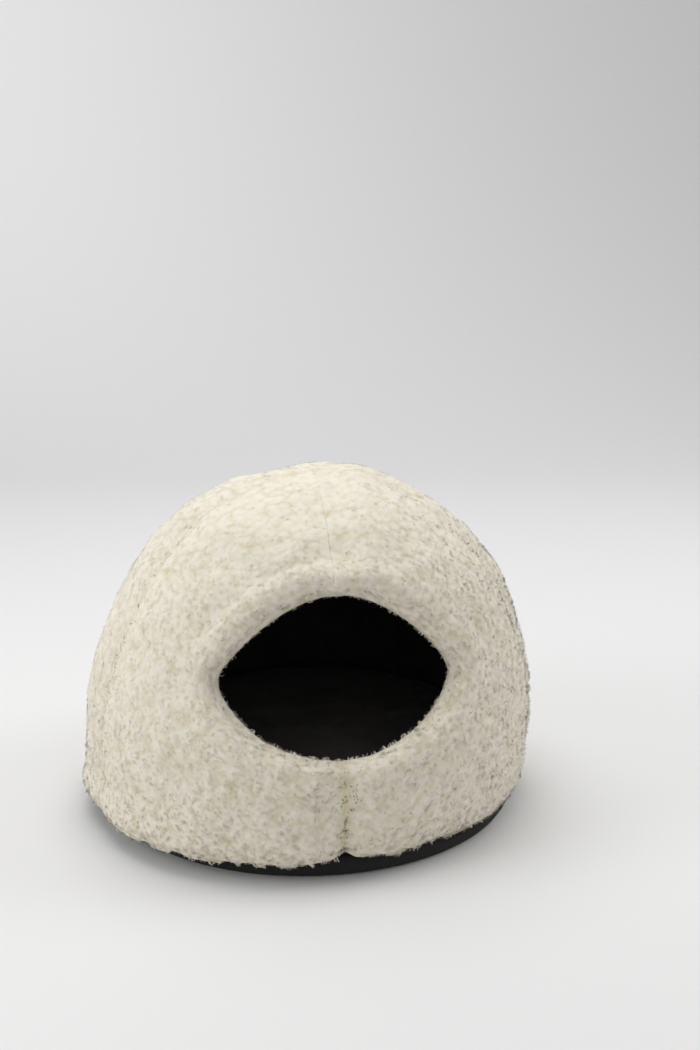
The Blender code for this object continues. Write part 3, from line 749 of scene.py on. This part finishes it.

# Velour cover of the cushion: the same black cloth, rubbed a little greyer in broad random patches.
cover, cover_shader = finish(
    "Velour cushion cover, knitted polyester", "#1E1C1B", 0.85,
    Sheen_Weight=0.4, Sheen_Roughness=0.4,
)
cover_shader.inputs["Sheen Tint"].default_value = linear("#8A8680")
cover_place = add(cover, "ShaderNodeTexCoord").outputs["Object"]
cover_pile = add(
    cover, "ShaderNodeTexNoise", {"Vector": cover_place, "Scale": 650.0, "Detail": 3.0}
)
cover_nap = add(
    cover, "ShaderNodeTexNoise", {"Vector": cover_place, "Scale": 18.0, "Detail": 2.0}
)
cover.node_tree.links.new(
    colours(cover, cover_nap.outputs["Fac"], (0.35, "#272625"), (0.65, "#363534")),
    cover_shader.inputs["Base Color"],
)
cover_bump = add(
    cover, "ShaderNodeBump", {"Height": cover_pile.outputs["Fac"], "Distance": 0.0008}
)
cover.node_tree.links.new(cover_bump.outputs["Normal"], cover_shader.inputs["Normal"])


def panel(name, node_name, below, above):
    """A panel of the cushion's cover: the bag's skin between two heights, as cloth."""
    piece = bpy.data.objects.new(name, bag.data.copy())
    bpy.context.scene.collection.objects.link(piece)
    take(piece)
    bpy.ops.object.mode_set(mode="EDIT")
    for height, side in ((below, 1), (above, -1)):
        if height is not None:
            bpy.ops.mesh.select_all(action="SELECT")
            bpy.ops.mesh.bisect(
                plane_co=(0.0, 0.0, height), plane_no=(0.0, 0.0, side), clear_inner=True
            )
    if below is not None and above is not None:
        for turn in (radians(ZIP_FROM), radians(ZIP_TO)):
            bpy.ops.mesh.select_all(action="SELECT")
            bpy.ops.mesh.bisect(plane_co=(0.0, 0.0, 0.0), plane_no=(cos(turn), sin(turn), 0.0))
    bpy.ops.object.mode_set(mode="OBJECT")
    if below is not None and above is not None:
        skin = bmesh.new()
        skin.from_mesh(piece.data)
        angles = round_angle(np.array([face.calc_center_median() for face in skin.faces]))
        zipped = [f for f, a in zip(list(skin.faces), angles) if ZIP_FROM < a < ZIP_TO]
        bmesh.ops.delete(skin, geom=zipped, context="FACES")
        skin.to_mesh(piece.data)
        skin.free()
    modify(piece, "SOLIDIFY", thickness=COVER_THICK, offset=1.0)
    piece.data.shade_smooth()
    wear(piece, cover)
    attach(piece, "cushion")
    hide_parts(node_name)


panel("cushion_top", "cushion_top_panel", top_seam, None)
panel("cushion_underside", "cushion_bottom_panel", None, bottom_seam)
panel("cushion_side", "cushion_side_band", bottom_seam, top_seam)

# Polyester wadding, carded: white, matt and fibrous.
wadding, wadding_shader = finish("Polyester wadding, carded", "#F2F2EE", 0.95, Sheen_Weight=0.2)
wadding_place = add(wadding, "ShaderNodeTexCoord").outputs["Object"]
wadding_fibre = add(
    wadding, "ShaderNodeTexNoise", {"Vector": wadding_place, "Scale": 260.0, "Detail": 5.0}
)
wadding.node_tree.links.new(
    colours(wadding, wadding_fibre.outputs["Fac"], (0.3, "#E2E2DC"), (0.7, "#FAFAF6")),
    wadding_shader.inputs["Base Color"],
)
wadding_bump = add(
    wadding, "ShaderNodeBump", {"Height": wadding_fibre.outputs["Fac"], "Distance": 0.0015}
)
wadding.node_tree.links.new(wadding_bump.outputs["Normal"], wadding_shader.inputs["Normal"])
places, way = points_of(bag), normals_of(bag)
turn, reach = round_angle(places), np.hypot(places[:, 0], places[:, 1])
zipped = (turn > ZIP_FROM - 2) & (turn < ZIP_TO + 2) & (reach > ZIP_ROOM_FROM)
places[:, :2] *= 1 - (ZIP_ROOM / reach * zipped)[:, None]  # the zip's tapes hold the wadding back
move_to(bag, places - 0.0006 * way)
bag.data.shade_smooth()
wear(bag, wadding)
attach(bag, "cushion")
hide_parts("cushion_wadding")

# ---- Zip ----------------------------------------------------------------------------------
# A black nylon coil zip in the cushion's side: two woven tapes with a coil sewn to each, a
# painted metal slider with its pull, and a stop at each end.
# Zip tape, woven polyester: black, matt, with a fine rib across it.
tape, tape_shader = finish("Zip tape, woven polyester", "#141414", 0.75)
tape_place = add(tape, "ShaderNodeTexCoord").outputs["Object"]
tape_rib = add(tape, "ShaderNodeTexVoronoi", {"Vector": tape_place, "Scale": 1200.0})
tape_bump = add(
    tape, "ShaderNodeBump", {"Height": tape_rib.outputs["Distance"], "Distance": 0.0003}
)
tape.node_tree.links.new(tape_bump.outputs["Normal"], tape_shader.inputs["Normal"])
tape.node_tree.links.new(
    colours(tape, tape_rib.outputs["Distance"], (0.1, "#0D0D0D"), (0.8, "#1D1D1D")),
    tape_shader.inputs["Base Color"],
)
for half in ("zip_lower_half", "zip_upper_half"):
    wear(frame["nodes"][half], tape)

# Zinc alloy, die cast and painted: black with a slight gloss, and greyer where it is rubbed.
zinc, zinc_shader = finish("Zinc alloy, die cast and painted", "#1A1A1B", 0.38, Metallic=0.4)
zinc_place = add(zinc, "ShaderNodeTexCoord").outputs["Object"]
zinc_rub = add(zinc, "ShaderNodeTexNoise", {"Vector": zinc_place, "Scale": 600.0, "Detail": 4.0})
zinc.node_tree.links.new(
    colours(zinc, zinc_rub.outputs["Fac"], (0.45, "#161617"), (0.75, "#3A3A3C")),
    zinc_shader.inputs["Base Color"],
)
for name in ("zip_slider", "zip_pull", "zip_closed_stop", "zip_open_stop"):
    wear(frame["nodes"][name], zinc)

# ---- Stage, lights and camera -------------------------------------------------------------
# A pale matt sweep of paper under soft light from above, and a camera a little above the bed
# and to its left.
bpy.ops.mesh.primitive_plane_add(size=8.0, location=(0.0, 0.0, 0.0))
floor = bpy.context.object
floor.name = "studio_floor"
take(floor)
bpy.ops.object.mode_set(mode="EDIT")
bpy.ops.mesh.select_all(action="DESELECT")
bpy.ops.object.mode_set(mode="OBJECT")
for edge in floor.data.edges:
    edge.select = all(floor.data.vertices[v].co.y > 3.9 for v in edge.vertices)
bpy.ops.object.mode_set(mode="EDIT")
bpy.ops.mesh.extrude_region_move(TRANSFORM_OT_translate={"value": (0.0, 0.0, 4.0)})
bpy.ops.object.mode_set(mode="OBJECT")
modify(floor, "BEVEL", width=2.5, segments=16, limit_method="ANGLE")
floor.data.shade_smooth()
paper, _ = finish("Studio paper, matt", "#E4E4E4", 0.9)
wear(floor, paper)

world = bpy.data.worlds.new("Studio")
world.use_nodes = True
world.node_tree.nodes["Background"].inputs["Color"].default_value = linear("#FFFFFF")
world.node_tree.nodes["Background"].inputs["Strength"].default_value = 0.52
bpy.context.scene.world = world
bpy.context.scene.view_settings.view_transform = "Standard"

for light_name, place, aim, size, power in (
    ("softbox_above", (-0.2, 0.45, 2.0), (0.0, 0.0, 0.15), 1.6, 17.0),
    ("softbox_left", (-1.9, -0.4, 1.0), (0.0, 0.0, 0.15), 1.2, 13.0),
    ("softbox_right", (1.7, 0.1, 1.6), (0.0, 0.0, 0.15), 1.2, 12.0),
    ("softbox_backdrop", (-1.1, 1.8, 2.4), (-0.8, 3.9, 2.3), 2.0, 27.0),
):
    light = bpy.data.lights.new(light_name, "AREA")
    light.shape, light.size, light.energy = "SQUARE", size, power
    lamp = bpy.data.objects.new(light_name, light)
    lamp.location = place
    lamp.rotation_euler = (Vector(aim) - Vector(place)).to_track_quat("-Z", "Y").to_euler()
    bpy.context.scene.collection.objects.link(lamp)

view = bpy.data.objects.new("camera", bpy.data.cameras.new("camera"))
view.data.lens, view.data.sensor_width = 50.0, 36.0
view.location = (-0.17639, -1.35811, 0.60498)
view.rotation_euler = (radians(76.2682), 0.0, radians(-8.9651))
bpy.context.scene.collection.objects.link(view)
bpy.context.scene.camera = view
